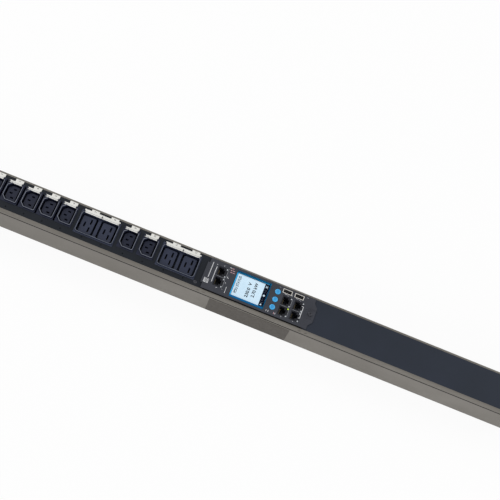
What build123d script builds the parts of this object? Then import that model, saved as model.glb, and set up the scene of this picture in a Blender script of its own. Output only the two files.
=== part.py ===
"""Rack power distribution unit, lying on its back with its outlets facing up.

An aluminium channel carries two covers, snap-in outlet housings, a removable controller
with a display and three push buttons, busbars under the outlets, and a cord gland.
X runs along the unit towards the cord gland, Y runs across it, and Z points up from its back.
The origin is the middle of the back face, and all sizes are in millimetres.
"""

import os

from build123d import *

# Body channel
body_length = 900.0
body_width = 61.0
body_height = 55.0
wall = 1.5
edge_radius = 4.5
foot_radius = 1.5
lip_depth = 3.5
ledge_inset = 1.3
groove_width = 2.2
groove_depth = 1.3
groove_drop = 5.7
rail_reach = 2.0
rail_thickness = 1.5
lower_rail_top = 8.0
upper_rail_top = 18.0
port_size = 4.4
port_height = 5.6
port_bore = 2.5
insert_inset = 60.0
insert_bore_radius = 2.5
insert_shank_radius = 3.5
insert_flange_radius = 5.5
insert_height = 7.0

# Clearances
slip = 0.1
running = 0.25

# Covers
cover_thickness = 2.0
cord_clip_radius = 0.9
cord_clip_inset = 4.8
cover_screw_head_radius = 2.6
cover_screw_head_height = 1.2
cover_screw_radius = 1.5
cover_screw_length = 7.0
cover_screw_inset_y = 6.3
cover_screw_inset = 8.0

# Outlet layout along the body, from its left end
end_margin = 50.0
block_outlets = 6
block_gap = 2.1
group_gap = 4.6
module_gap = 9.9

# Outlet housings
rim_height = 3.0
bezel_height = 1.0
bezel_edge = 0.7
shelf_height = 1.5
collar_width = 1.0
housing_depth = 24.0
recess_depth = 18.0
recess_far_y = 16.6
recess_lead = 0.4
island_drop = 5.0
bezel_far_y = 20.7
side_wall = 2.0
housing_inset = 0.8
c13_bezel_width = 26.0
c13_island_width = 15.6
c13_island_length = 24.0
c13_gap_x = 2.4
c13_gap_y = 1.9
c13_corner = 4.5
c13_near_rim = 3.2
c13_pin_pitch = 14.0
c13_earth_offset = 4.0
c13_slot = (4.4, 2.4)
c13_contact = (3.0, 0.8)
c19_pitch = 30.3
c19_bezel_width = 60.8
c19_island_width = 19.6
c19_island_length = 27.0
c19_gap_x = 3.0
c19_gap_y = 2.4
c19_corner = 2.5
c19_near_rim = 2.9
c19_pin_pitch = 13.0
c19_earth_offset = 8.0
c19_slot = (2.4, 8.4)
c19_contact = (0.8, 5.2)

# Outlet markers, the white tags on the far side of each outlet
marker_strip_thickness = 0.6
marker_left = 11.0
marker_right = 9.0
marker_tab_length = 12.0
marker_tab_width = 4.7
c19_marker_left = 11.6
c19_marker_right = 13.0

# Busbars and their carrier
carrier_thickness = 2.0
busbar_width = 4.0
busbar_thickness = 1.5
contact_tip_drop = 7.0
busbar_end_margin = 56.0

# Controller plate
plate_length = 172.4
plate_shoulder_left = 3.0
plate_shoulder_right = 5.5
plate_half = 25.0
plate_centre_y = 0.6
plate_raise = 1.4
plate_notch_half = 17.0
plate_nose_half = 11.5
plate_nose_base_half = 18.5
plate_overlap_left = 6.5
plate_overlap_right = 12.0
rim_width = 3.0
rim_flange = 0.8
rim_gap = 1.4

# Controller housing and boards
tub_wall = 1.1
tub_depth = 27.0
tub_rib_inset = 4.5
board_thickness = 1.6
board_drop = 15.0
display_board_drop = 4.4

# Display
display_y = 0.7
display_glass = (53.0, 43.6)
display_glass_thickness = 0.8
display_opening = (49.6, 37.6)
display_panel_size = (60.0, 42.8)
display_panel_thickness = 2.6

# Push buttons
button_y = 1.4
button_pitch = 12.9
button_radius = 4.1
button_rise = 0.9
button_travel = 0.6
button_flange_radius = 4.9
button_flange_thickness = 0.8
button_flange_gap = 0.15
button_stem_radius = 1.3
button_stem_length = 1.1
switch_size = 6.0
switch_height = 1.1

# Sockets
jack_size = (14.6, 15.4)
jack_cavity = (7.0, 11.9)
jack_notch = (2.6, 6.4)
jack_cavity_depth = 12.5
jack_contact = (1.0, 9.4)
jack_sink = 0.2
jack_pitch = 16.6
jack_left_y = 10.4
jack_right_y = 5.0
usb_size = (13.1, 5.7)
usb_wall = 0.4
usb_depth = 14.0
usb_tongue = (11.0, 1.8)
usb_y = 19.7

# Captive screw of the controller
module_screw_y = 0.0
module_screw_head_radius = 3.4
module_screw_head_height = 1.6
module_screw_radius = 1.6
module_screw_length = 5.0

# End caps and gland
cap_thickness = 3.0
cap_shelf_depth = 14.0
cap_shelf_inset = 2.7
cap_shelf_thickness = 6.0
cap_screw_head_radius = 2.5
cap_screw_head_height = 1.6
cap_screw_radius = 1.2
cap_screw_length = 12.0
gland_thread_radius = 12.5
gland_across_flats = 30.0
gland_flange = 6.0
gland_nut_length = 17.0
gland_bore_radius = 9.0
gland_seal_bore_radius = 6.5
gland_seal_length = 16.0
locknut_thickness = 4.0

# Parts under the plain cover
psu_transformer = (26.0, 26.0)
psu_fuse = (18.0, 8.0, 6.5)
psu_capacitor_radius = 4.0
psu_capacitor_length = 20.0
psu_sink = 0.4
terminal_length = 30.0
terminal_width = 34.0
terminal_height = 18.0
terminal_screw_radius = 2.6
sensor_length = 12.0
sensor_size = 10.0
sensor_from_terminal = 26.0

# Clip slots in the rounded edges beside the controller
clip_slot_length = 3.6
clip_slot_depth = 1.4
clip_slot_spacing = 9.5

# Rating label on the near side
label_thickness = 0.3
label_from_module = 21.5
label_length = 125.0
label_low_z = 2.0
label_drop = 11.0

# Sizes that follow from those above
left_end = -body_length / 2
right_end = body_length / 2
inner_half = body_width / 2 - wall
face_half = body_width / 2 - edge_radius
ledge_half = face_half - ledge_inset
cap_shelf_half = ledge_half - cap_shelf_inset
gland_z = body_height / 2 + 0.5
insert_spacing = body_length - 2 * insert_inset
cord_clip_y = cord_clip_inset - face_half
cover_screw_y = face_half - cover_screw_inset_y
tub_half = ledge_half - 2 * slip
face_z = body_height
cover_under_z = face_z - cover_thickness
rim_z = face_z + rim_height
shelf_z = face_z + shelf_height
island_z = rim_z - island_drop
strip_y = recess_far_y + slip
plate_z = face_z + plate_raise
carrier_top = upper_rail_top + carrier_thickness
busbar_top = carrier_top + busbar_thickness
c13_recess = (c13_island_width + 2 * c13_gap_x, c13_island_length + 2 * c13_gap_y)
c19_recess = (c19_island_width + 2 * c19_gap_x, c19_island_length + 2 * c19_gap_y)
c13_y = recess_far_y - c13_recess[1] / 2
c19_y = recess_far_y - c19_recess[1] / 2
c13_near_y = recess_far_y - c13_recess[1] - c13_near_rim
c19_near_y = recess_far_y - c19_recess[1] - c19_near_rim

block_pitch = c13_bezel_width + block_gap
block_x = [left_end + end_margin + i * block_pitch for i in range(block_outlets)]
pair_1_x = block_x[-1] + c13_bezel_width / 2 + group_gap + c19_bezel_width / 2
single_1_x = pair_1_x + c19_bezel_width / 2 + group_gap + c13_bezel_width / 2
single_2_x = single_1_x + c13_bezel_width + group_gap
pair_2_x = single_2_x + c13_bezel_width / 2 + group_gap + c19_bezel_width / 2
c13_places = block_x + [single_1_x, single_2_x]
c19_places = [pair_1_x, pair_2_x]
plate_left = pair_2_x + c19_bezel_width / 2 + module_gap
plate_right = plate_left + plate_length
display_x = plate_left + 0.417 * plate_length
button_x = plate_left + 0.6386 * plate_length
jack_left_x = plate_left + 0.142 * plate_length
jack_middle_x = plate_left + 0.7355 * plate_length
jack_right_x = plate_left + 0.8434 * plate_length
usb_left_x = plate_left + 0.7181 * plate_length
usb_right_x = plate_left + 0.8254 * plate_length
module_screw_x = plate_left + 0.9582 * plate_length
jack_places = [
    (x, y - row * jack_pitch)
    for x, y in ((jack_left_x, jack_left_y), (jack_middle_x, jack_right_y), (jack_right_x, jack_right_y))
    for row in (0, 1)
]
usb_places = [(usb_left_x, usb_y), (usb_right_x, usb_y)]
module_left = plate_left + plate_overlap_left
module_right = plate_right - plate_overlap_right
terminal_x = right_end - busbar_end_margin
plain_length = right_end - plate_right
psu_left = plate_right + 0.08 * plain_length
psu_length = 0.29 * plain_length
tub_floor_z = face_z - tub_depth
board_top_z = face_z - board_drop
display_board_z = face_z - display_board_drop
line_y = c13_y + c13_pin_pitch / 2
neutral_y = c13_y - c13_pin_pitch / 2
earth_y = c13_y


def box(x0, x1, y0, y1, z0, z1):
    """Box between two corners."""
    return Pos((x0 + x1) / 2, (y0 + y1) / 2, (z0 + z1) / 2) * Box(x1 - x0, y1 - y0, z1 - z0)


def rod(radius, x, y, z0, z1):
    """Upright cylinder between two heights."""
    return Pos(x, y, (z0 + z1) / 2) * Cylinder(radius, z1 - z0)


def rod_x(radius, x0, x1, y, z):
    """Cylinder along the body between two stations."""
    return Pos((x0 + x1) / 2, y, z) * Rot(0, 90, 0) * Cylinder(radius, x1 - x0)


def hex_x(across_flats, x0, x1, y, z):
    """Hexagonal prism along the body between two stations."""
    prism = extrude(Plane.YZ * RegularPolygon(across_flats / 2, 6, major_radius=False), x1 - x0)
    return Pos(x0, y, z) * prism


def section(width, z0, z1, y=0.0):
    """Rectangle in the channel's cross-section."""
    return Pos(y, (z0 + z1) / 2) * Rectangle(width, z1 - z0)


def outer_section():
    """Outside of the channel, with rounded long edges."""
    outline = section(body_width, 0, body_height)
    corners = outline.vertices().group_by(Axis.Y)
    outline = fillet(corners[-1], edge_radius)
    return fillet(outline.vertices().group_by(Axis.Y)[0], foot_radius)


def port_centres():
    """Screw ports in the four inner corners of the channel."""
    y = inner_half - port_size / 2
    low = wall + port_height / 2
    high = body_height - lip_depth - port_height / 2
    return [(side * y, z) for side in (-1, 1) for z in (low, high)]


def make_body():
    """Extruded channel with lips, board rails, screw ports, clip slots and insert holes."""
    lip_z = body_height - lip_depth
    shape = outer_section() - section(2 * inner_half, wall, lip_z)
    shape -= section(2 * ledge_half, lip_z - slip, body_height)
    shape -= section(2 * face_half, cover_under_z, body_height + 1)
    for side in (-1, 1):
        groove_y = side * (body_width / 2 - groove_depth / 2)
        groove_z = body_height - groove_drop
        shape -= section(groove_depth, groove_z - groove_width, groove_z, groove_y)
        rail_y = side * (inner_half - rail_reach / 2)
        for top in (lower_rail_top, upper_rail_top):
            shape += section(rail_reach, top - rail_thickness, top, rail_y)
    for y, z in port_centres():
        shape += Pos(y, z) * Rectangle(port_size, port_height)
        shape -= Pos(y, z) * Circle(port_bore / 2)
    body = Pos(left_end, 0, 0) * extrude(Plane.YZ * shape, body_length)
    for x in (-insert_spacing / 2, insert_spacing / 2):
        body -= rod(insert_shank_radius + slip / 2, x, 0, -1, wall + 1)
    corner = edge_radius * (1 - 0.5**0.5)
    for x in clip_slots():
        for side in (-1, 1):
            place = Pos(x, side * (body_width / 2 - corner), body_height - corner)
            body -= place * Rot(45, 0, 0) * Box(clip_slot_length, clip_slot_depth, clip_slot_depth)
    return body


def clip_slots():
    """Stations of the paired clip slots at both ends of the controller."""
    first = plate_left + 0.5
    last = plate_right - 4.0
    return [first, first + clip_slot_spacing, last - clip_slot_spacing, last]


def make_inserts():
    """Two threaded inserts, flush with the back."""
    inserts = []
    for x in (-insert_spacing / 2, insert_spacing / 2):
        insert = rod(insert_shank_radius, x, 0, 0, wall)
        insert += rod(insert_flange_radius, x, 0, wall, insert_height)
        insert -= rod(insert_bore_radius, x, 0, -1, insert_height + 1)
        inserts.append(insert)
    return Compound(inserts)


def cover_screws():
    """Places of the cover screws, and whether a cap or the controller holds each."""
    near = [(left_end + cover_screw_inset, side * cover_screw_y) for side in (-1, 1)]
    far = [(right_end - cover_screw_inset, side * cover_screw_y) for side in (-1, 1)]
    return near + far + [(plate_left - plate_overlap_left, -cover_screw_y)]


def cut_screws(cover):
    """Counterbored screw holes in a cover."""
    for x, y in cover_screws():
        cover -= rod(cover_screw_radius + slip, x, y, cover_under_z - 1, face_z)
        seat = face_z - cover_screw_head_height
        cover -= rod(cover_screw_head_radius + slip, x, y, seat, face_z + 1)
    return cover


def make_outlet_cover():
    """Left cover, with openings for the outlets and holes for cord clips."""
    half = face_half - slip
    cover = box(left_end, module_left - slip, -half, half, cover_under_z, face_z)
    block_half = c13_bezel_width / 2 - housing_inset + slip
    c13_low = c13_near_y + housing_inset - slip
    far = recess_far_y + side_wall + slip
    cover -= box(block_x[0] - block_half, block_x[-1] + block_half, c13_low, far, 0, rim_z)
    for x in (single_1_x, single_2_x):
        cover -= box(x - block_half, x + block_half, c13_low, far, 0, rim_z)
    pair_half = c19_bezel_width / 2 - housing_inset + slip
    c19_low = c19_near_y + housing_inset - slip
    for x in c19_places:
        cover -= box(x - pair_half, x + pair_half, c19_low, far, 0, rim_z)
    clips = c13_places + [x + side * c19_pitch / 2 for x in c19_places for side in (-1, 1)]
    for x in clips:
        cover -= rod(cord_clip_radius, x, cord_clip_y, cover_under_z - 1, face_z + 1)
    return cut_screws(cover)


def make_plain_cover():
    """Right cover, tapped for the controller's captive screw."""
    half = face_half - slip
    cover = box(module_right + slip, right_end, -half, half, cover_under_z, face_z)
    hole = rod(module_screw_radius + slip, module_screw_x, module_screw_y, cover_under_z - 1, face_z + 1)
    cover -= hole
    return cut_screws(cover)


def make_cover_screws():
    """Countersunk cover screws."""
    screws = []
    for x, y in cover_screws():
        seat = face_z - cover_screw_head_height
        screw = rod(cover_screw_head_radius, x, y, seat, face_z)
        screw += rod(cover_screw_radius, x, y, face_z - cover_screw_length, seat)
        screws.append(screw)
    return Compound(screws)


def keyed_outline(width, length, corner):
    """Outlet outline with both corners cut on the earth pin's side."""
    outline = Rectangle(width, length)
    outline = chamfer(outline.vertices().group_by(Axis.X)[0], corner)
    return fillet(outline.vertices().group_by(Axis.X)[-1], corner / 3)


def round_outline(width, length, corner):
    """Outlet outline with four rounded corners."""
    return RectangleRounded(width, length, corner)


def outlet_recess(outline, width, length, corner, x, y):
    """Recess around an outlet's island, with a lead-in at its mouth."""
    depth = Pos(x, y, rim_z - recess_depth) * extrude(outline(width, length, corner), recess_depth)
    mouth = outline(width + 2 * recess_lead, length + 2 * recess_lead, corner + recess_lead)
    return depth + Pos(x, y, rim_z) * extrude(mouth, -recess_lead, taper=45)


def outlet_housing(x0, x1, near_y, collar):
    """Low bezel on the cover, a raised collar, a shelf for the marker, and the box below."""
    bezel = box(x0, x1, near_y, bezel_far_y, face_z, face_z + bezel_height)
    bezel = chamfer(bezel.edges().group_by(Axis.Z)[-1], bezel_edge)
    bezel += Pos(0, 0, face_z) * extrude(collar, rim_height)
    bezel -= box(x0, x1, recess_far_y, bezel_far_y + 1, shelf_z, rim_z + 1)
    bezel += box(x0 + bezel_edge, x1 - bezel_edge, recess_far_y, bezel_far_y, face_z, shelf_z)
    inset = housing_inset
    far = recess_far_y + side_wall
    return bezel + box(x0 + inset, x1 - inset, near_y + inset, far, face_z - housing_depth, face_z)


def marker_seat(x0, x1):
    """Shallow seat for a marker on the shelf at the bezel's far edge."""
    low = shelf_z - marker_strip_thickness
    return box(x0 - slip, x1 + slip, strip_y - slip / 2, bezel_far_y + 1, low, rim_z + 1)


def c13_pins(x):
    """Pin positions of one small outlet: line, neutral, earth."""
    near = x + c13_earth_offset / 2
    half = c13_pin_pitch / 2
    return [(near, c13_y + half), (near, c13_y - half), (x - c13_earth_offset / 2, c13_y)]


def c19_pins(x):
    """Pin positions of one large outlet: line, neutral, earth."""
    near = x + c19_earth_offset / 2
    half = c19_pin_pitch / 2
    return [(near, c19_y + half), (near, c19_y - half), (x - c19_earth_offset / 2, c19_y)]


def cut_outlet(housing, outline, recess, island, corner, x, y, pins, slot):
    """Cut one recess with its island and its three slots into a housing."""
    cut = outlet_recess(outline, recess[0], recess[1], corner + 1, x, y)
    block = extrude(outline(island[0], island[1], corner), recess_depth - island_drop)
    housing -= cut - Pos(x, y, rim_z - recess_depth) * block
    for pin_x, pin_y in pins:
        housing -= box(pin_x - slot[0] / 2, pin_x + slot[0] / 2, pin_y - slot[1] / 2,
                       pin_y + slot[1] / 2, face_z - housing_depth - 1, rim_z + 1)
    return housing


def make_c13(x):
    """Housing of one small outlet."""
    half = c13_bezel_width / 2
    width, length = (size + 2 * collar_width for size in c13_recess)
    collar = Pos(x, c13_y) * keyed_outline(width, length, c13_corner + 1 + collar_width / 2)
    housing = outlet_housing(x - half, x + half, c13_near_y, collar)
    island = (c13_island_width, c13_island_length)
    housing = cut_outlet(housing, keyed_outline, c13_recess, island, c13_corner, x, c13_y,
                         c13_pins(x), c13_slot)
    return housing - marker_seat(x - marker_left, x + marker_right)


def make_c19_pair(x):
    """Housing of two large outlets side by side, inside one collar."""
    half = c19_bezel_width / 2
    width = c19_pitch + c19_recess[0]
    length = c19_recess[1]
    radius = c19_corner + 1
    outside = RectangleRounded(width + 2 * collar_width, length + 2 * collar_width, radius + collar_width)
    housing = outlet_housing(x - half, x + half, c19_near_y, Pos(x, c19_y) * outside)
    housing -= Pos(x, c19_y, island_z) * extrude(RectangleRounded(width, length, radius), island_drop + 1)
    island = (c19_island_width, c19_island_length)
    for centre in (x - c19_pitch / 2, x + c19_pitch / 2):
        housing = cut_outlet(housing, round_outline, c19_recess, island, c19_corner, centre, c19_y,
                             c19_pins(centre), c19_slot)
    left = x - c19_pitch / 2 - c19_marker_left
    return housing - marker_seat(left, x + c19_pitch / 2 + c19_marker_right)


def make_marker(x0, x1, tabs):
    """White marker: a strip on the bezel and tabs that stand on the cover behind it."""
    marker = box(x0, x1, strip_y, bezel_far_y, shelf_z - marker_strip_thickness, shelf_z)
    for tab in tabs:
        far = bezel_far_y + marker_tab_width
        marker += box(tab, tab + marker_tab_length, bezel_far_y, far, face_z, shelf_z)
    return marker


def make_c13_marker(x):
    """Marker of one small outlet."""
    return make_marker(x - marker_left, x + marker_right, [x + marker_right - marker_tab_length])


def make_c19_marker(x):
    """Marker shared by a pair of large outlets."""
    left = x - c19_pitch / 2
    right = x + c19_pitch / 2
    offset = marker_right - marker_tab_length + 1
    return make_marker(left - c19_marker_left, right + c19_marker_right, [left + offset, right + offset])


def outlet_pins(pole):
    """Positions of one pole in every outlet, with the size of its contact."""
    small = [(c13_pins(x)[pole], c13_contact) for x in c13_places]
    centres = [x + side * c19_pitch / 2 for x in c19_places for side in (-1, 1)]
    return small + [(c19_pins(x)[pole], c19_contact) for x in centres]


def make_busbar(y):
    """Copper strip on the carrier, from the first outlet to the terminal block."""
    half = busbar_width / 2
    first = c13_places[0] - c13_bezel_width / 2
    return box(first, terminal_x, y - half, y + half, carrier_top, busbar_top)


def make_contacts():
    """Contacts that stand on the busbars and rise into the slots of every outlet."""
    tip = island_z - contact_tip_drop
    contacts = []
    for pole in range(3):
        for (x, y), contact in outlet_pins(pole):
            half_x = contact[0] / 2
            half_y = contact[1] / 2
            contacts.append(box(x - half_x, x + half_x, y - half_y, y + half_y, busbar_top, tip))
    return Compound(contacts)


def make_carrier():
    """Insulating plate on the upper rails, notched for the current sensor."""
    half = inner_half - slip
    cap = cap_shelf_depth + cap_thickness
    carrier = box(left_end + cap, right_end - cap, -half, half, upper_rail_top, carrier_top)
    x = terminal_x - terminal_length / 2 - sensor_from_terminal
    y = line_y
    size = sensor_size / 2 + slip
    carrier -= box(x - sensor_length / 2 - slip, x + sensor_length / 2 + slip, y - size, y + size,
                   0, carrier_top + 1)
    return carrier


def make_sensor():
    """Current sensor, a ring around the line busbar."""
    x = terminal_x - terminal_length / 2 - sensor_from_terminal
    half = sensor_size / 2
    z = (carrier_top + busbar_top) / 2
    sensor = box(x - sensor_length / 2, x + sensor_length / 2, line_y - half, line_y + half,
                 z - half, z + half)
    gap = slip
    sensor -= box(x - sensor_length, x + sensor_length, line_y - busbar_width / 2 - gap,
                  line_y + busbar_width / 2 + gap, carrier_top - gap, busbar_top + gap)
    return sensor


def make_terminal():
    """Input terminal block with a channel for each busbar and clamp screws on top."""
    half = terminal_length / 2
    x = terminal_x
    top = carrier_top + terminal_height
    block = box(x - half, x + half, -terminal_width / 2, terminal_width / 2, carrier_top, top)
    for y in (line_y, neutral_y, earth_y):
        width = busbar_width / 2 + slip
        block -= box(x - half - 1, x + half + 1, y - width, y + width, carrier_top - 1, busbar_top + slip)
        for side in (-1, 1):
            block -= rod(terminal_screw_radius, x + side * half / 2, y, top - 6, top + 1)
    return block


def make_power_supply():
    """Low-voltage supply on the lower rails: board, transformer, capacitors and fuse holder."""
    x0 = psu_left
    x1 = x0 + psu_length
    half = inner_half - slip
    top = lower_rail_top + board_thickness
    high = upper_rail_top - rail_thickness - slip
    board = box(x0, x1, -half, half, lower_rail_top, top)
    middle = x0 + 0.45 * psu_length
    long, wide = psu_transformer
    board += box(middle - long / 2, middle + long / 2, -wide / 2, wide / 2, top, high)
    for side in (-1, 1):
        place = Pos(x0 + 0.8 * psu_length, side * half / 2, top + psu_capacitor_radius - psu_sink)
        board += place * Rot(0, 90, 0) * Cylinder(psu_capacitor_radius, psu_capacitor_length)
    long, wide, high = psu_fuse
    fuse = x0 + 0.16 * psu_length
    board += box(fuse - long / 2, fuse + long / 2, half / 2 - wide / 2, half / 2 + wide / 2, top, top + high)
    return board


def shelf(x0, x1):
    """Shelf of an end cap, under the end of the cover."""
    return box(x0, x1, -cap_shelf_half, cap_shelf_half, cover_under_z - cap_shelf_thickness, cover_under_z)


def make_cap(side):
    """End cap with the channel's outline and a shelf that the cover is screwed to."""
    end = side * body_length / 2
    plate = extrude(Plane.YZ * outer_section(), side * cap_thickness)
    cap = Pos(end, 0, 0) * chamfer(plate.edges().group_by(Axis.X)[-1 if side > 0 else 0], 1.0)
    inner = end - side * cap_shelf_depth
    cap += shelf(min(end, inner), max(end, inner))
    for x, y in cover_screws()[:4]:
        cap -= rod(cover_screw_radius + slip, x, y, 0, face_z)
    for y, z in port_centres():
        cap -= rod_x(cap_screw_radius + slip, end - 20, end + 20, y, z)
    if side > 0:
        cap -= rod_x(gland_thread_radius + slip, end - 20, end + 20, 0, gland_z)
    return cap


def make_cap_screws():
    """Four screws through each end cap into the channel's ports."""
    screws = []
    for side in (-1, 1):
        outside = side * (body_length / 2 + cap_thickness)
        for y, z in port_centres():
            head = (outside, outside + side * cap_screw_head_height)
            shank = (outside, outside - side * cap_screw_length)
            screw = rod_x(cap_screw_head_radius, min(head), max(head), y, z)
            screw += rod_x(cap_screw_radius, min(shank), max(shank), y, z)
            screws.append(screw)
    return Compound(screws)


def make_gland():
    """Cord gland: body, dome nut, seal and locknut."""
    outside = right_end + cap_thickness
    inside = right_end - locknut_thickness - 1.0
    flange_end = outside + gland_flange
    body = rod_x(gland_thread_radius, inside, outside, 0, gland_z)
    body += hex_x(gland_across_flats, outside, flange_end, 0, gland_z)
    body -= rod_x(gland_bore_radius, inside - 1, flange_end + 1, 0, gland_z)
    nut_end = flange_end + gland_nut_length
    nut = hex_x(gland_across_flats, flange_end, flange_end + 9, 0, gland_z)
    nut += Pos(flange_end + 9, 0, gland_z) * Rot(0, 90, 0) * Cone(
        gland_across_flats / 2, gland_bore_radius + 1.5, gland_nut_length - 9,
        align=(Align.CENTER, Align.CENTER, Align.MIN))
    nut -= rod_x(gland_bore_radius, flange_end - 1, nut_end + 1, 0, gland_z)
    seal = rod_x(gland_bore_radius - slip / 2, nut_end - gland_seal_length, nut_end, 0, gland_z)
    seal -= rod_x(gland_seal_bore_radius, nut_end - gland_seal_length - 1, nut_end + 1, 0, gland_z)
    locknut = hex_x(gland_across_flats, right_end - locknut_thickness, right_end, 0, gland_z)
    locknut -= rod_x(gland_thread_radius + slip / 2, inside, outside, 0, gland_z)
    return {"gland_body": body, "gland_nut": nut, "gland_seal": seal, "gland_locknut": locknut}


def plate_outline():
    """Outline of the controller plate, notched at the left and nosed at the right."""
    low = plate_centre_y - plate_half
    high = plate_centre_y + plate_half
    left = plate_left + plate_shoulder_left
    right = plate_right - plate_shoulder_right
    c = plate_centre_y
    notch = plate_notch_half
    base = plate_nose_base_half
    nose = plate_nose_half
    return [
        (left, low), (right, low), (right, c - base), (plate_right, c - nose),
        (plate_right, c + nose), (right, c + base), (right, high), (left, high),
        (left, c + notch), (plate_left, c + notch), (plate_left, c - notch), (left, c - notch),
    ]


def cut_at(piece, size, x, y, z0, z1):
    """Cut a rectangular opening."""
    return piece - box(x - size[0] / 2, x + size[0] / 2, y - size[1] / 2, y + size[1] / 2, z0, z1)


def make_plate():
    """Controller plate with a rim on the ledges and openings for all that shows."""
    plate = Pos(0, 0, face_z) * extrude(make_face(Polyline(plate_outline(), close=True)), plate_raise)
    half = face_half - slip
    rim = box(module_left, module_right, -half, half, cover_under_z, cover_under_z + rim_flange)
    rim += box(module_left, module_right, rim_gap - half, half - rim_gap, cover_under_z, face_z)
    rim -= box(module_left + rim_width, module_right - rim_width, rim_width - half, half - rim_width,
               cover_under_z, face_z)
    plate += rim
    seat = plate_z - display_glass_thickness
    glass = (display_glass[0] + 2 * slip, display_glass[1] + 2 * slip)
    plate = cut_at(plate, display_opening, display_x, display_y, face_z - 1, plate_z + 1)
    plate = cut_at(plate, glass, display_x, display_y, seat, plate_z + 1)
    jack = (jack_size[0] + 2 * slip, jack_size[1] + 2 * slip)
    for x, y in jack_places:
        plate = cut_at(plate, jack, x, y, face_z - 1, plate_z + 1)
    usb = (usb_size[0] + 2 * slip, usb_size[1] + 2 * slip)
    for x, y in usb_places:
        plate = cut_at(plate, usb, x, y, cover_under_z - 1, plate_z + 1)
    for y in button_rows():
        plate -= rod(button_radius + running, button_x, y, face_z - 1, plate_z + 1)
    hole = rod(module_screw_radius + slip, module_screw_x, module_screw_y, face_z - 1, plate_z + 1)
    return plate - hole


def make_tub():
    """Controller housing, open at the top, with ribs under its board and a screw lug."""
    x0 = module_left + slip
    x1 = module_right - slip
    tub = box(x0, x1, -tub_half, tub_half, tub_floor_z, cover_under_z)
    inner = tub_half - tub_wall
    tub -= box(x0 + tub_wall, x1 - tub_wall, -inner, inner, tub_floor_z + tub_wall, face_z)
    for side in (-1, 1):
        y = side * (tub_half - tub_rib_inset)
        tub += box(x0, x1, y - 1, y + 1, tub_floor_z, board_top_z - board_thickness)
    x, y = cover_screws()[-1]
    tub += box(x - 4, x0, y - 4, y + 4, cover_under_z - 4, cover_under_z)
    return tub - rod(cover_screw_radius + slip, x, y, 0, face_z)


def make_controller_board():
    """Main circuit board of the controller."""
    gap = tub_wall + 2 * slip
    half = tub_half - gap
    low = board_top_z - board_thickness
    return box(module_left + gap, module_right - gap, -half, half, low, board_top_z)


def button_rows():
    """Button positions across the plate."""
    return [button_y + button_pitch, button_y, button_y - button_pitch]


def make_display_board():
    """Display board on four spacers, with a switch under each button."""
    x0 = display_x - display_panel_size[0] / 2
    x1 = button_x + button_flange_radius + 1
    half = display_panel_size[1] / 2
    top = display_board_z + board_thickness
    board = box(x0, x1, display_y - half, display_y + half, display_board_z, top)
    for x in (x0 + 3, x1 - 3):
        for y in (display_y - half + 3, display_y + half - 3):
            board += rod(2.0, x, y, board_top_z, display_board_z)
    x = button_x
    for y in button_rows():
        size = switch_size / 2
        board += box(x - size, x + size, y - size, y + size, top, top + switch_height)
        board -= rod(button_stem_radius + running, x, y, top, top + switch_height + 1)
    return board


def make_display_panel():
    """Display panel on its board."""
    size = display_panel_size
    x = display_x
    low = display_board_z + board_thickness
    return box(x - size[0] / 2, x + size[0] / 2, display_y - size[1] / 2, display_y + size[1] / 2,
               low, low + display_panel_thickness)


def make_window():
    """Display window, set flush in the plate."""
    half_x = display_glass[0] / 2
    half_y = display_glass[1] / 2
    x = display_x
    glass = box(x - half_x, x + half_x, display_y - half_y, display_y + half_y,
                plate_z - display_glass_thickness, plate_z)
    return glass


def make_button(y):
    """Push button: cap, retaining flange and stem."""
    x = button_x
    flange_top = face_z - button_flange_gap
    flange_low = flange_top - button_flange_thickness
    cap = rod(button_radius, x, y, flange_top, plate_z + button_rise)
    cap = chamfer(cap.edges().group_by(Axis.Z)[-1], button_rise / 2)
    cap += rod(button_flange_radius, x, y, flange_low, flange_top)
    return cap + rod(button_stem_radius, x, y, flange_low - button_stem_length, flange_low)


def make_jack(x, y):
    """Upright modular jack with its latch notch and contact comb."""
    top = plate_z - jack_sink
    half_x = jack_size[0] / 2
    half_y = jack_size[1] / 2
    jack = box(x - half_x, x + half_x, y - half_y, y + half_y, board_top_z, top)
    left = x - half_x + 1.4
    right = left + jack_cavity[0]
    low = top - jack_cavity_depth
    jack -= box(left, right, y - jack_cavity[1] / 2, y + jack_cavity[1] / 2, low, top + 1)
    jack -= box(right - 1, right + jack_notch[0], y - jack_notch[1] / 2, y + jack_notch[1] / 2,
                low, top + 1)
    comb = jack_contact[1] / 2
    return jack + box(left, left + jack_contact[0], y - comb, y + comb, low, top - 4)


def make_usb(x, y):
    """Upright USB socket with its tongue."""
    top = plate_z - jack_sink
    half_x = usb_size[0] / 2
    half_y = usb_size[1] / 2
    usb = box(x - half_x, x + half_x, y - half_y, y + half_y, board_top_z, top)
    floor = top - usb_depth
    usb -= box(x - half_x + usb_wall, x + half_x - usb_wall, y - half_y + usb_wall,
               y + half_y - usb_wall, floor, top + 1)
    tongue_y = y + half_y - usb_wall - 0.5 - usb_tongue[1] / 2
    half_t = usb_tongue[1] / 2
    return usb + box(x - usb_tongue[0] / 2, x + usb_tongue[0] / 2, tongue_y - half_t,
                     tongue_y + half_t, floor, top - 2)


def make_module_screw():
    """Captive screw that holds the controller, slotted for a coin."""
    x = module_screw_x
    y = module_screw_y
    top = plate_z + module_screw_head_height
    screw = rod(module_screw_head_radius, x, y, plate_z, top)
    screw += rod(module_screw_radius, x, y, plate_z - module_screw_length, plate_z)
    slot = module_screw_head_radius + 1
    return screw - box(x - slot, x + slot, y - 0.5, y + 0.5, top - 0.8, top + 1)


def make_label():
    """Rating label on the near side of the channel."""
    x0 = plate_left + label_from_module
    side = -body_width / 2
    high = face_z - label_drop
    return box(x0, x0 + label_length, side - label_thickness, side, label_low_z, high)


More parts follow.
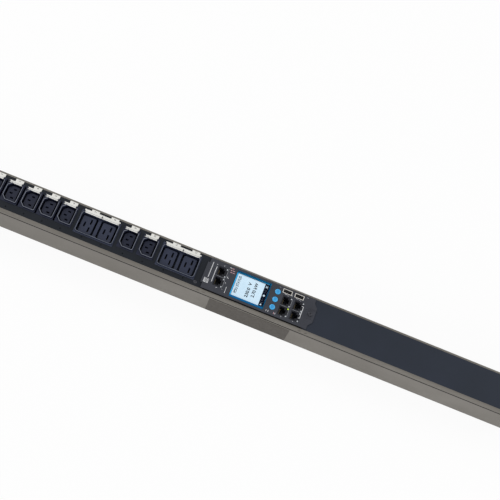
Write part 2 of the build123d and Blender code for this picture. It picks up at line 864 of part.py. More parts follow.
nodes = {
    "body_channel": make_body(),
    "mounting_inserts": make_inserts(),
    "outlet_cover": make_outlet_cover(),
    "plain_cover": make_plain_cover(),
    "cover_screws": make_cover_screws(),
    "busbar_carrier": make_carrier(),
    "line_busbar": make_busbar(line_y),
    "neutral_busbar": make_busbar(neutral_y),
    "earth_busbar": make_busbar(earth_y),
    "outlet_contacts": make_contacts(),
    "current_sensor": make_sensor(),
    "terminal_block": make_terminal(),
    "power_supply": make_power_supply(),
    "end_cap_top": make_cap(-1),
    "end_cap_bottom": make_cap(1),
    "end_cap_screws": make_cap_screws(),
    "controller_plate": make_plate(),
    "controller_housing": make_tub(),
    "controller_board": make_controller_board(),
    "display_board": make_display_board(),
    "display_panel": make_display_panel(),
    "display_window": make_window(),
    "controller_screw": make_module_screw(),
    "rating_label": make_label(),
}
nodes.update(make_gland())
for number, x in enumerate(c13_places, 1):
    nodes[f"c13_outlet_{number}"] = make_c13(x)
    nodes[f"c13_marker_{number}"] = make_c13_marker(x)
for number, x in enumerate(c19_places, 1):
    nodes[f"c19_twin_outlet_{number}"] = make_c19_pair(x)
    nodes[f"c19_marker_{number}"] = make_c19_marker(x)
for number, y in enumerate(button_rows(), 1):
    nodes[f"button_{number}"] = make_button(y)
for number, (x, y) in enumerate(jack_places, 1):
    nodes[f"network_jack_{number}"] = make_jack(x, y)
for number, (x, y) in enumerate(usb_places, 1):
    nodes[f"usb_socket_{number}"] = make_usb(x, y)

os.makedirs("parts", exist_ok=True)
for name, solid in nodes.items():
    solid.label = name
    export_step(solid, f"parts/{name}.step")
print(len(nodes), "nodes written")
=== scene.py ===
# Looks of a rack power distribution unit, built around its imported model
import math
import random

import bmesh
import bpy
from mathutils import Matrix, Vector


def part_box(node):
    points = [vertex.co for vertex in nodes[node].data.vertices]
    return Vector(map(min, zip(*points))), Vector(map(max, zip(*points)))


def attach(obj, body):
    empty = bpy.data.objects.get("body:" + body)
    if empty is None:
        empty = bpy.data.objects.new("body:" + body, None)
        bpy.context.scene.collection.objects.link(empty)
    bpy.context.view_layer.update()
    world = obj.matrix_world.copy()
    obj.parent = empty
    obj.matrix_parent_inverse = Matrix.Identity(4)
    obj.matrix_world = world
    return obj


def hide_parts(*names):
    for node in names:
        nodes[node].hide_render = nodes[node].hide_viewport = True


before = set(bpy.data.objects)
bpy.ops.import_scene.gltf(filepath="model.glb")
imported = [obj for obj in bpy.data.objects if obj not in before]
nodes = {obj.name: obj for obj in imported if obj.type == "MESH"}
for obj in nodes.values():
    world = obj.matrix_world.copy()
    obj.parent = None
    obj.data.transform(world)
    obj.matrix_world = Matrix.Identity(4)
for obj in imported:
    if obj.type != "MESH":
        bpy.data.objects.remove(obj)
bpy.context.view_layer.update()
scene = bpy.context.scene
mm = 0.001
bodyName = "unit"
print("frame loaded:", len(nodes), "nodes")


# Small tools

def hexColour(code):  # sRGB hex to the linear values that Blender works in, opaque
    parts = [int(code[i:i + 2], 16) / 255 for i in (1, 3, 5)]
    return [p / 12.92 if p <= 0.04045 else ((p + 0.055) / 1.055) ** 2.4 for p in parts] + [1.0]


def addNode(tree, kind, settings=None, inputs=None):  # one node with its settings, values and links
    node = tree.nodes.new(kind)
    for name, value in (settings or {}).items():
        setattr(node, name, value)
    for name, value in (inputs or {}).items():
        if isinstance(value, bpy.types.NodeSocket):
            tree.links.new(value, node.inputs[name])
        else:
            node.inputs[name].default_value = value
    return node


def emptyMaterial(name):  # a material and its tree, with no nodes yet
    material = bpy.data.materials.new(name)
    material.use_nodes = True
    material.node_tree.nodes.clear()
    return material, material.node_tree


def addObject(name, data):  # an object in the scene, at the origin
    made = bpy.data.objects.new(name, data)
    scene.collection.objects.link(made)
    return made


# Finishes

# Sizes are in millimetres: grain is the texture's pitch, depth its height, blotch the size of the
# slow change in colour, and edge the small radius on every edge. Stretch scales the grain's pattern
# on each axis, shine is the strength of the highlight, and glow is emitted light. Crown highlight is
# a painted highlight above a height: the crown of the outlets' collars is drawn pale, for the glint
# on their rims. Groove shade is painted shade between two heights: a dark band beside the side grooves.
ink = dict(rough=0.6, grain=0.4, depth=0.004, blotch=2)
screen = dict(rough=0.3, grain=2.0, depth=0.0, shine=0.05)
finishes = {
    # Polyester powder coat on extruded aluminium: satin, with a faint orange peel, and a band of
    # painted shade beside the side grooves
    "powderCoatTaupe": dict(colour="#75716b", shade="#6a6660", rough=0.46, grain=0.9, depth=0.012,
                            blotch=70, stretch=(0.35, 1, 1), edge=0.35, shine=0.25,
                            grooveShade=("#2c2a27", 46.4, 50.0)),
    # The same coat in black on sheet metal: cooler, and a little smoother
    "powderCoatBlack": dict(colour="#262c38", shade="#212731", rough=0.42, grain=0.8, depth=0.01,
                            blotch=60, edge=0.25, shine=0.2),
    # The same black coat on the outlet cover, drawn darker and flatter: the darker colour is painted
    # shade
    "powderCoatBlackShaded": dict(colour="#191d24", shade="#14181e", rough=0.55, grain=0.8, depth=0.01,
                            blotch=45, edge=0.25, shine=0.15),
    # Glass-filled nylon, moulded: nearly matt, with a fine spark-eroded skin, and a painted highlight
    # on the crown of the collars
    "mouldedNylon": dict(colour="#1b2033", shade="#15192a", rough=0.5, grain=0.45, depth=0.012,
                         blotch=9, edge=0.3, shine=0.2, crownHighlight=("#70747f", 57.7)),
    # The large outlets are mouldings of their own, a shade paler, with the same painted highlight on
    # the crown
    "mouldedNylonPale": dict(colour="#2b3145", shade="#242a3c", rough=0.5, grain=0.45, depth=0.012,
                             blotch=9, edge=0.3, shine=0.25, crownHighlight=("#5e636f", 57.7)),
    # ABS blend of the controller's plate: matt and neutral
    "mouldedAbs": dict(colour="#383a42", shade="#31333a", rough=0.55, grain=0.5, depth=0.015,
                       blotch=25, edge=0.25, shine=0.25),
    # White acetal of the markers: a soft, slightly waxy white
    "whiteAcetal": dict(colour="#ecece8", shade="#dfded8", rough=0.38, grain=1.2, depth=0.004,
                        blotch=12, edge=0.12),
    # Black polyamide of the gland: moulded, slightly glossy
    "glandPolyamide": dict(colour="#2b2c2f", shade="#252629", rough=0.38, grain=0.6, depth=0.008,
                           blotch=14, edge=0.4),
    # Chloroprene seal: dead matt; the same black also lies as painted shade in the grooves and beside
    # the controller
    "sealRubber": dict(colour="#0c0c0d", shade="#09090a", rough=0.8, grain=0.5, depth=0.02,
                       blotch=6, edge=0.2, shine=0.1),
    # Jack shells in black PBT: smooth inside, so the plugs slide
    "jackPbt": dict(colour="#1c1d24", shade="#17181e", rough=0.36, grain=0.7, depth=0.004,
                    blotch=8, edge=0.2, shine=0.2),
    # Phenolic and PBT of the terminal block and busbar carrier
    "insulatorPbt": dict(colour="#34363a", shade="#2d2f33", rough=0.52, grain=0.8, depth=0.01,
                         blotch=15, edge=0.3),
    # Black zinc on the screws: dark, metallic, fine turned lines
    "blackZinc": dict(colour="#46474c", shade="#3a3b40", rough=0.34, grain=0.35, depth=0.004,
                      blotch=2, stretch=(1, 1, 0.2), metallic=1.0),
    # Nickel on the USB shells and inserts: bright, brushed by the press tool
    "nickelPlate": dict(colour="#cfcdc8", shade="#bdbab4", rough=0.26, grain=0.4, depth=0.004,
                        blotch=3, stretch=(1, 1, 0.12), metallic=1.0),
    # Dull tin on the outlet contacts, deep in their slots
    "dullTin": dict(colour="#4a4644", shade="#3d3a39", rough=0.5, grain=0.5, depth=0.004,
                    blotch=3, stretch=(1, 1, 0.2), metallic=1.0),
    # Tinned copper of the busbars
    "tinnedCopper": dict(colour="#c9a27e", shade="#b98a63", rough=0.33, grain=0.5, depth=0.004,
                         blotch=6, stretch=(0.08, 1, 1), metallic=1.0),
    # Gold flash on the contact wires
    "goldFlash": dict(colour="#8c7d5a", shade="#7b6d4c", rough=0.25, grain=0.4, depth=0.002,
                      blotch=2, stretch=(1, 1, 0.2), metallic=1.0),
    # Solder mask over glass-epoxy laminate: green, glossy, with the weave just showing
    "solderMask": dict(colour="#1f6b45", shade="#185538", rough=0.3, grain=0.7, depth=0.006, blotch=5),
    # Polyester label film: satin and a little darker than the coat it sits on
    "labelFilm": dict(colour="#504c47", shade="#443f3a", rough=0.4, grain=1.1, depth=0.003,
                      blotch=3, shine=0.12),
    # Screen-printed ink: flat and dull, in four colours
    "whiteInk": dict(ink, colour="#d6d7d9", shade="#c7c8cb"),
    "greyInk": dict(ink, colour="#8d8f94", shade="#84868b"),
    "roseInk": dict(ink, colour="#cfa3a9", shade="#c3959c"),
    "darkInk": dict(ink, colour="#24262b", shade="#1d1f24"),
    # Polycarbonate button caps: blue, tinted right through, smooth, and deeper in the dish. Their glow
    # is painted light that brightens them
    "bluePolycarbonate": dict(colour="#3aa4dc", shade="#3098d0", rough=0.22, grain=1.5, depth=0.002,
                              blotch=5, glow=0.2, edge=0.15),
    "deepPolycarbonate": dict(colour="#2d8fca", shade="#2786c0", rough=0.3, grain=1.5, depth=0.002,
                              blotch=5, glow=0.15),
    # Light pipes: clear polycarbonate, unlit and lit
    "clearPipe": dict(colour="#b9bec3", shade="#aab0b5", rough=0.15, grain=1.0, depth=0.002, blotch=2),
    "litPipe": dict(colour="#b6cf3a", shade="#a9c42f", rough=0.2, grain=1.0, depth=0.002,
                    blotch=1.2, glow=0.55),
    # The lit picture behind the window, and the border printed on it. The picture's cells are too
    # fine to show, so only a slow wash is drawn
    "screenPale": dict(screen, colour="#b4c7d3", shade="#a6bdcd", rough=0.35, blotch=26, glow=1.0),
    "screenBlue": dict(screen, colour="#0d5282", shade="#0e5c90", blotch=9, glow=0.25),
    "screenCyan": dict(screen, colour="#38b2e8", shade="#2ea9e0", blotch=12, glow=0.45),
    "screenTeal": dict(screen, colour="#124a66", shade="#145272", blotch=12, glow=0.1),
    "screenNavy": dict(screen, colour="#08132b", shade="#071024", blotch=9, glow=0.06),
    "screenText": dict(screen, colour="#0d1520", shade="#0a111a", blotch=4, glow=0.03),
    "screenWhite": dict(screen, colour="#a9b8c2", shade="#9fb0bb", blotch=6, glow=1.2),
    # Pressed tray of the display panel: dull tinplate
    "panelBack": dict(colour="#8c9096", shade="#80848a", rough=0.35, grain=0.8, depth=0.002,
                      blotch=12, metallic=0.6),
}

# How every finish mixes its grain and its blotches into colour and roughness
patterns = dict(grainDetail=3.0, grainRoughness=0.6, blotchDetail=4.0, blotchRoughness=0.55,
                grainShare=0.5, tintRange=(0.5, 1.0), roughRange=(0.4, 1.1), roughSpread=0.05,
                crownBlend=0.1, bandCore=0.6, bevelSamples=4)


def makeFinish(name, recipe, p=patterns):
    material, tree = emptyMaterial(name)
    place = addNode(tree, "ShaderNodeTexCoord").outputs["Object"]
    drawn = addNode(tree, "ShaderNodeMapping", {}, {
        "Vector": place, "Scale": recipe.get("stretch", (1, 1, 1))})
    grain = addNode(tree, "ShaderNodeTexNoise", {}, {
        "Vector": drawn.outputs["Vector"], "Scale": 1000 / recipe["grain"],
        "Detail": p["grainDetail"], "Roughness": p["grainRoughness"]})
    blotch = addNode(tree, "ShaderNodeTexNoise", {}, {
        "Vector": place, "Scale": 1000 / recipe["blotch"],
        "Detail": p["blotchDetail"], "Roughness": p["blotchRoughness"]})
    blend = addNode(tree, "ShaderNodeMath", {"operation": "MULTIPLY_ADD"}, {
        0: grain.outputs["Fac"], 1: p["grainShare"], 2: blotch.outputs["Fac"]})
    share = addNode(tree, "ShaderNodeMapRange", {}, {
        "Value": blend.outputs["Value"], "From Min": p["tintRange"][0], "From Max": p["tintRange"][1]})
    tint = addNode(tree, "ShaderNodeMix", {"data_type": "RGBA"}, {
        0: share.outputs["Result"], 6: hexColour(recipe["colour"]), 7: hexColour(recipe["shade"])})
    rough = addNode(tree, "ShaderNodeMapRange", {}, {
        "Value": blend.outputs["Value"], "From Min": p["roughRange"][0], "From Max": p["roughRange"][1],
        "To Min": recipe["rough"] - p["roughSpread"], "To Max": recipe["rough"] + p["roughSpread"]})
    if recipe.get("crownHighlight") or recipe.get("grooveShade"):
        level = addNode(tree, "ShaderNodeSeparateXYZ", {}, {"Vector": place}).outputs["Z"]
    # painted highlight: the crown of the outlets' collars is drawn pale above a height, for the glint
    # on their rims
    if recipe.get("crownHighlight"):
        code, height = recipe["crownHighlight"]
        crown = addNode(tree, "ShaderNodeMapRange", {}, {
            "Value": level, "From Min": (height - p["crownBlend"]) * mm,
            "From Max": (height + p["crownBlend"]) * mm})
        tint = addNode(tree, "ShaderNodeMix", {"data_type": "RGBA"}, {
            0: crown.outputs["Result"], 6: tint.outputs[2], 7: hexColour(code)})
    # painted shade: a dark band between two heights, beside the side grooves
    if recipe.get("grooveShade"):
        code, lower, upper = recipe["grooveShade"]
        away = addNode(tree, "ShaderNodeMath", {"operation": "SUBTRACT"}, {
            0: level, 1: (lower + upper) / 2 * mm})
        apart = addNode(tree, "ShaderNodeMath", {"operation": "ABSOLUTE"}, {0: away.outputs["Value"]})
        reach = (upper - lower) / 2 * mm
        band = addNode(tree, "ShaderNodeMapRange", {}, {
            "Value": apart.outputs["Value"], "From Min": reach, "From Max": reach * p["bandCore"]})
        tint = addNode(tree, "ShaderNodeMix", {"data_type": "RGBA"}, {
            0: band.outputs["Result"], 6: tint.outputs[2], 7: hexColour(code)})
    wires = {"Base Color": tint.outputs[2], "Roughness": rough.outputs["Result"],
             "Metallic": recipe.get("metallic", 0.0), "Specular IOR Level": recipe.get("shine", 0.5)}
    if recipe["depth"]:
        relief = {"Height": grain.outputs["Fac"], "Distance": recipe["depth"] * mm, "Strength": 1.0}
        if recipe.get("edge"):  # the small radius that a mould or a coat leaves on every edge
            soft = addNode(tree, "ShaderNodeBevel", {"samples": p["bevelSamples"]}, {
                "Radius": recipe["edge"] * mm})
            relief["Normal"] = soft.outputs["Normal"]
        wires["Normal"] = addNode(tree, "ShaderNodeBump", {}, relief).outputs["Normal"]
    if recipe.get("glow"):
        wires["Emission Color"] = tint.outputs[2]
        wires["Emission Strength"] = recipe["glow"]
    shader = addNode(tree, "ShaderNodeBsdfPrincipled", {}, wires)
    addNode(tree, "ShaderNodeOutputMaterial", {}, {"Surface": shader.outputs["BSDF"]})
    return material


materials = {name: makeFinish(name, recipe) for name, recipe in finishes.items()}

windowGlass = dict(colour="#1c2228", rough=0.05, roughSpread=0.08, alpha=0.08, ior=1.49, smear=60.0,
                   smearDetail=3.0)


def makeWindowGlass(recipe):  # acrylic window: clear, it adds only a faint shine over the picture
    material, tree = emptyMaterial("acrylicWindow")
    place = addNode(tree, "ShaderNodeTexCoord").outputs["Object"]
    smear = addNode(tree, "ShaderNodeTexNoise", {}, {
        "Vector": place, "Scale": recipe["smear"], "Detail": recipe["smearDetail"]})
    rough = addNode(tree, "ShaderNodeMapRange", {}, {
        "Value": smear.outputs["Fac"], "To Min": recipe["rough"],
        "To Max": recipe["rough"] + recipe["roughSpread"]})
    shader = addNode(tree, "ShaderNodeBsdfPrincipled", {}, {
        "Base Color": hexColour(recipe["colour"]), "Alpha": recipe["alpha"],
        "Roughness": rough.outputs["Result"], "IOR": recipe["ior"]})
    addNode(tree, "ShaderNodeOutputMaterial", {}, {"Surface": shader.outputs["BSDF"]})
    return material


materials["acrylicWindow"] = makeWindowGlass(windowGlass)

nodeFinishes = {  # CAD nodes by finish: a name that ends in _ stands for all that start with it
    "powderCoatTaupe": ["body_channel", "end_cap_top", "end_cap_bottom"],
    "powderCoatBlack": ["plain_cover"],
    "powderCoatBlackShaded": ["outlet_cover"],
    "mouldedNylon": ["c13_outlet_"],
    "mouldedNylonPale": ["c19_twin_outlet_"],
    "whiteAcetal": ["c13_marker_", "c19_marker_"],
    "mouldedAbs": ["controller_plate", "controller_housing"],
    "acrylicWindow": ["display_window"],
    "panelBack": ["display_panel"],
    "bluePolycarbonate": ["button_"],
    "jackPbt": ["network_jack_"],
    "nickelPlate": ["usb_socket_", "mounting_inserts"],
    "tinnedCopper": ["line_busbar", "neutral_busbar", "earth_busbar"],
    "dullTin": ["outlet_contacts"],
    "insulatorPbt": ["busbar_carrier", "terminal_block", "current_sensor"],
    "solderMask": ["power_supply", "controller_board", "display_board"],
    "glandPolyamide": ["gland_body", "gland_nut", "gland_locknut"],
    "sealRubber": ["gland_seal"],
    "labelFilm": ["rating_label"],
    "blackZinc": ["cover_screws", "end_cap_screws", "controller_screw"],
}
for finishName, starts in nodeFinishes.items():
    for name, part in nodes.items():
        if any(name == start or (start.endswith("_") and name.startswith(start)) for start in starts):
            part.data.materials.clear()
            part.data.materials.append(materials[finishName])
print("finishes made:", len(materials))


# Pieces

def finishPiece(piece, body=bodyName, replaced=()):
    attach(piece, body)
    if replaced:
        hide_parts(*replaced)


def meshPiece(name, form, finishNames):  # turns a finished form into an object with its materials
    mesh = bpy.data.meshes.new(name)
    bmesh.ops.recalc_face_normals(form, faces=form.faces[:])
    form.to_mesh(mesh)
    form.free()
    for finish in finishNames:
        mesh.materials.append(materials[finish])
    return addObject(name, mesh)


def joinLoops(form, lower, upper, index=0):  # band of faces between two loops of points
    for i in range(len(lower)):
        j = (i + 1) % len(lower)
        form.faces.new((lower[i], lower[j], upper[j], upper[i])).material_index = index


def addSlab(form, low, high, index=0):  # thin closed box between two corners
    corners = [form.verts.new((x, y, z)) for x in (low[0], high[0]) for y in (low[1], high[1])
               for z in (low[2], high[2])]
    for loop in ((0, 1, 3, 2), (4, 6, 7, 5), (0, 4, 5, 1), (2, 3, 7, 6), (0, 2, 6, 4), (1, 5, 7, 3)):
        form.faces.new([corners[i] for i in loop]).material_index = index


def addOutline(form, points, z0, z1, index=0):  # closed slab with any outline
    lower = [form.verts.new((x, y, z0)) for x, y in points]
    upper = [form.verts.new((x, y, z1)) for x, y in points]
    form.faces.new(lower[::-1]).material_index = index
    form.faces.new(upper).material_index = index
    joinLoops(form, lower, upper, index)


def arcPoints(cx, cy, radius, first, last, steps):  # points along an arc, its angles in degrees
    angles = [math.radians(first + (last - first) * i / steps) for i in range(steps + 1)]
    return [(cx + radius * math.cos(a), cy + radius * math.sin(a)) for a in angles]


def addRings(form, rings, count):  # turned solid: each ring's radius, height, wave and number of waves
    loops = []
    for radius, height, wave, waves in rings:
        loop = []
        for i in range(count):
            angle = 2 * math.pi * i / count
            r = radius * (1 + wave * math.cos(waves * angle))
            loop.append(form.verts.new((r * math.cos(angle), r * math.sin(angle), height)))
        loops.append(loop)
    for lower, upper in zip(loops, loops[1:]):
        joinLoops(form, lower, upper)
    form.faces.new(loops[0][::-1])
    form.faces.new(loops[-1])


capShare = 0.72  # height of a capital as a share of the type's size


def addWords(form, words, height, place, index=0, thickness=0.02, bold=0.0):  # raised letters, closed
    curve = bpy.data.curves.new("words", "FONT")
    curve.body = words
    curve.size = height * mm / capShare
    curve.extrude = thickness * mm / 2
    curve.offset = bold * mm
    curve.align_x = "CENTER"
    curve.align_y = "CENTER"
    holder = addObject("words", curve)
    bpy.context.view_layer.update()
    shaped = bpy.data.meshes.new_from_object(holder)
    shaped.transform(place)
    start = len(form.faces)
    form.from_mesh(shaped)
    form.faces.ensure_lookup_table()
    for face in form.faces[start:]:
        face.material_index = index
    bpy.data.objects.remove(holder)
    bpy.data.curves.remove(curve)
    bpy.data.meshes.remove(shaped)


tolerance = 1e-6  # in metres: two points closer than this are one


def islandBoxes(node):  # lowest and highest corners of a CAD node's separate solids
    form = bmesh.new()
    form.from_mesh(nodes[node].data)
    bmesh.ops.remove_doubles(form, verts=form.verts[:], dist=tolerance)
    waiting = set(form.verts)
    boxes = []
    while waiting:
        front = [waiting.pop()]
        island = list(front)
        while front:
            for edge in front.pop().link_edges:
                for vert in edge.verts:
                    if vert in waiting:
                        waiting.remove(vert)
                        front.append(vert)
                        island.append(vert)
        boxes.append([Vector(pick(v.co[i] for v in island) for i in range(3)) for pick in (min, max)])
    form.free()
    return sorted(boxes, key=lambda box: [round(v, 4) for v in box[0]])


# Geometry Nodes trees for what repeats

def newTree(name, sockets):
    tree = bpy.data.node_groups.new(name, "GeometryNodeTree")
    tree.interface.new_socket("Geometry", in_out="OUTPUT", socket_type="NodeSocketGeometry")
    for label, kind in sockets.items():
        tree.interface.new_socket(label, in_out="INPUT", socket_type="NodeSocket" + kind)
    return tree, addNode(tree, "NodeGroupInput")


def closeTree(tree, start, geometry):
    real = addNode(tree, "GeometryNodeRealizeInstances", {}, {"Geometry": geometry})
    painted = addNode(tree, "GeometryNodeSetMaterial", {}, {
        "Geometry": real.outputs["Geometry"], "Material": start.outputs["Material"]})
    addNode(tree, "NodeGroupOutput", {}, {"Geometry": painted.outputs["Geometry"]})
    return tree


def makePlacedTree():  # an item at every point of a mesh, turned as the point's "turn" says
    tree, start = newTree("placedItems", {
        "Geometry": "Geometry", "Item": "Object", "Material": "Material"})
    item = addNode(tree, "GeometryNodeObjectInfo", {"transform_space": "ORIGINAL"}, {
        "Object": start.outputs["Item"]})
    turn = addNode(tree, "GeometryNodeInputNamedAttribute", {"data_type": "FLOAT_VECTOR"}, {
        "Name": "turn"})
    angle = addNode(tree, "FunctionNodeEulerToRotation", {}, {"Euler": turn.outputs["Attribute"]})
    placed = addNode(tree, "GeometryNodeInstanceOnPoints", {}, {
        "Points": start.outputs["Geometry"], "Instance": item.outputs["Geometry"],
        "Rotation": angle.outputs["Rotation"]})
    return closeTree(tree, start, placed.outputs["Instances"])


def makeCombTree():  # at every point of a mesh, a row of small bars across it
    tree, start = newTree("contactCombs", {
        "Geometry": "Geometry", "Count": "Int", "Pitch": "Float", "Bar Size": "Vector",
        "Material": "Material"})
    bar = addNode(tree, "GeometryNodeMeshCube", {}, {"Size": start.outputs["Bar Size"]})
    step = addNode(tree, "ShaderNodeCombineXYZ", {}, {"Y": start.outputs["Pitch"]})
    less = addNode(tree, "ShaderNodeMath", {"operation": "SUBTRACT"}, {
        0: start.outputs["Count"], 1: 1.0})
    span = addNode(tree, "ShaderNodeVectorMath", {"operation": "SCALE"}, {
        0: step.outputs["Vector"], "Scale": less.outputs["Value"]})
    back = addNode(tree, "ShaderNodeVectorMath", {"operation": "SCALE"}, {
        0: span.outputs["Vector"], "Scale": -0.5})
    row = addNode(tree, "GeometryNodeMeshLine", {}, {
        "Count": start.outputs["Count"], "Start Location": back.outputs["Vector"],
        "Offset": step.outputs["Vector"]})
    comb = addNode(tree, "GeometryNodeInstanceOnPoints", {}, {
        "Points": row.outputs["Mesh"], "Instance": bar.outputs["Mesh"]})
    placed = addNode(tree, "GeometryNodeInstanceOnPoints", {}, {
        "Points": start.outputs["Geometry"], "Instance": comb.outputs["Instances"]})
    return closeTree(tree, start, placed.outputs["Instances"])


def makeRibTree():  # bars around a ring, each facing outwards
    tree, start = newTree("ribRing", {
        "Count": "Int", "Radius": "Float", "Rib Size": "Vector", "Material": "Material"})
    ring = addNode(tree, "GeometryNodeMeshCircle", {}, {
        "Vertices": start.outputs["Count"], "Radius": start.outputs["Radius"]})
    rib = addNode(tree, "GeometryNodeMeshCube", {}, {"Size": start.outputs["Rib Size"]})
    where = addNode(tree, "GeometryNodeInputPosition")
    turn = addNode(tree, "FunctionNodeAlignRotationToVector", {"axis": "X"}, {
        "Vector": where.outputs["Position"]})
    placed = addNode(tree, "GeometryNodeInstanceOnPoints", {}, {
        "Points": ring.outputs["Mesh"], "Instance": rib.outputs["Mesh"],
        "Rotation": turn.outputs["Rotation"]})
    return closeTree(tree, start, placed.outputs["Instances"])


def makeBeadTree():  # a round bead along every line of a mesh
    tree, start = newTree("beads", {
        "Geometry": "Geometry", "Bead Radius": "Float", "Sides": "Int", "Material": "Material"})
    lines = addNode(tree, "GeometryNodeMeshToCurve", {}, {"Mesh": start.outputs["Geometry"]})
    profile = addNode(tree, "GeometryNodeCurvePrimitiveCircle", {}, {
        "Resolution": start.outputs["Sides"], "Radius": start.outputs["Bead Radius"]})
    bead = addNode(tree, "GeometryNodeCurveToMesh", {}, {
        "Curve": lines.outputs["Curve"], "Profile Curve": profile.outputs["Curve"], "Fill Caps": True})
    return closeTree(tree, start, bead.outputs["Mesh"])


def lineMesh(lines):  # open lines as loose edges
    mesh = bpy.data.meshes.new("lines")
    points = [tuple(p) for line in lines for p in line]
    edges = []
    first = 0
    for line in lines:
        edges += [(first + i, first + i + 1) for i in range(len(line) - 1)]
        first += len(line)
    mesh.from_pydata(points, edges, [])
    return mesh


def pointMesh(points, turns=None):  # loose points, each with the turn of its item
    mesh = bpy.data.meshes.new("points")
    mesh.from_pydata([tuple(p) for p in points], [], [])
    turned = mesh.attributes.new("turn", "FLOAT_VECTOR", "POINT")
    for i in range(len(points)):
        turned.data[i].vector = turns[i] if turns else (0, 0, 0)
    return mesh


def grow(name, tree, values, mesh=None):  # runs a tree and keeps its result as a plain mesh
    holder = addObject(name, mesh or bpy.data.meshes.new(name))
    modifier = holder.modifiers.new("build", "NODES")
    modifier.node_group = tree
    for socket in tree.interface.items_tree:
        if socket.in_out == "INPUT" and socket.name in values:
            modifier[socket.identifier] = values[socket.name]
    bpy.context.view_layer.update()
    graph = bpy.context.evaluated_depsgraph_get()
    result = bpy.data.meshes.new_from_object(holder.evaluated_get(graph), depsgraph=graph)
    bpy.data.objects.remove(holder)
    return addObject(name, result)


placedTree = makePlacedTree()
combTree = makeCombTree()
ribTree = makeRibTree()
beadTree = makeBeadTree()


# Screws

# Sizes are in millimetres, and tapers are shares of the shank, the shoulder and the socket. Each
# cover screw is turned by its own angle, which its place along the unit gives
screwShape = dict(sides=36, lobes=6, wave=0.14, tip=0.7, tipStart=0.93, shoulder=0.3, shoulderDrop=0.25,
                  socketTaper=0.94, drill=0.3, drillDepth=1.2, turnPerMetre=90)
coverScrew = dict(screwShape, headHeight=1.2, shank=1.5, socket=1.25, socketDepth=0.8, edge=0.35)
endScrew = dict(screwShape, headHeight=1.6, shank=1.2, socket=1.2, socketDepth=0.9, edge=0.7)


def addScrew(form, headRadius, length, p):  # head with a rounded shoulder and a six-lobed socket
    radius, head, shank, edge = (v * mm for v in (headRadius, p["headHeight"], p["shank"], p["edge"]))
    socket = p["socket"] * mm
    depth = p["socketDepth"] * mm
    addRings(form, [
        (shank * p["tip"], -length * mm, 0, 0), (shank, -length * mm * p["tipStart"], 0, 0),
        (shank, 0, 0, 0), (radius, 0, 0, 0), (radius, head - edge, 0, 0),
        (radius - edge * p["shoulder"], head - edge * p["shoulderDrop"], 0, 0),
        (radius - edge, head, 0, 0), (socket, head, p["wave"], p["lobes"]),
        (socket * p["socketTaper"], head - depth, p["wave"], p["lobes"]),
        (socket * p["drill"], head - depth * p["drillDepth"], 0, 0),
    ], p["sides"])


def makeScrews(name, node, p, axis):  # axis is the one that the screws lie along: 0 is x, 2 is z
    boxes = islandBoxes(node)
    sizes = boxes[0][1] - boxes[0][0]
    radius = sizes[1 if axis == 0 else 0] / 2 / mm
    head = p["headHeight"]
    form = bmesh.new()
    addScrew(form, radius, sizes[axis] / mm - head, p)
    item = meshPiece(name + "Item", form, ["blackZinc"])
    points = []
    turns = []
    for low, high in boxes:
        middle = (low + high) / 2
        if axis == 2:
            middle.z = high.z - head * mm
            turns.append((0, 0, middle.x * p["turnPerMetre"]))
        else:
            side = 1 if middle.x > 0 else -1
            end = high.x if side > 0 else low.x
            middle.x = end - side * head * mm
            turns.append((0, side * math.pi / 2, 0))
        points.append(middle)
    piece = grow(name, placedTree, {"Item": item, "Material": materials["blackZinc"]},
                 pointMesh(points, turns))
    bpy.data.objects.remove(item)
    finishPiece(piece, replaced=[node])


makeScrews("coverScrewHeads", "cover_screws", coverScrew, 2)
makeScrews("endScrewHeads", "end_cap_screws", endScrew, 0)

moduleScrew = dict(sides=48, tip=1.2, tipHeight=0.4, shank=1.6, headHeight=1.6, knurls=24,
                   knurlDepth=0.25, knurled=0.97, knurlTop=0.5, shoulder=0.9, shoulderDrop=0.12,
                   crown=0.8, socket=0.42, socketFloor=0.4, socketDepth=0.8)


def makeModuleScrew(p):  # captive screw with a fine knurl round its head and a round socket
    low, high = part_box("controller_screw")
    centre = (low + high) / 2
    radius = (high.x - low.x) / 2
    head = high.z - p["headHeight"] * mm
    wave = p["knurlDepth"] * mm / radius / 2
    form = bmesh.new()
    addRings(form, [
        (p["tip"] * mm, low.z, 0, 0), (p["shank"] * mm, low.z + p["tipHeight"] * mm, 0, 0),
        (p["shank"] * mm, head, 0, 0), (radius * p["knurled"], head, wave, p["knurls"]),
        (radius * p["knurled"], high.z - p["knurlTop"] * mm, wave, p["knurls"]),
        (radius * p["shoulder"], high.z - p["shoulderDrop"] * mm, 0, 0),
        (radius * p["crown"], high.z, 0, 0), (radius * p["socket"], high.z, 0, 0),
        (radius * p["socketFloor"], high.z - p["socketDepth"] * mm, 0, 0),
    ], p["sides"])
    bmesh.ops.translate(form, verts=form.verts[:], vec=(centre.x, centre.y, 0))
    piece = meshPiece("controllerScrewHead", form, ["blackZinc"])
    finishPiece(piece, replaced=["controller_screw"])


makeModuleScrew(moduleScrew)
print("screws made")


# Black strips of painted shade in the body's side grooves and beside the controller

shadeStrips = dict(grooveDrop=5.7, grooveWidth=2.2, grooveDepth=1.3, stripDepth=1.15, gapWidth=1.4,
             gapFloor=0.8, gapStrip=2.2, gapLeft=6.5, gapRight=12.0)


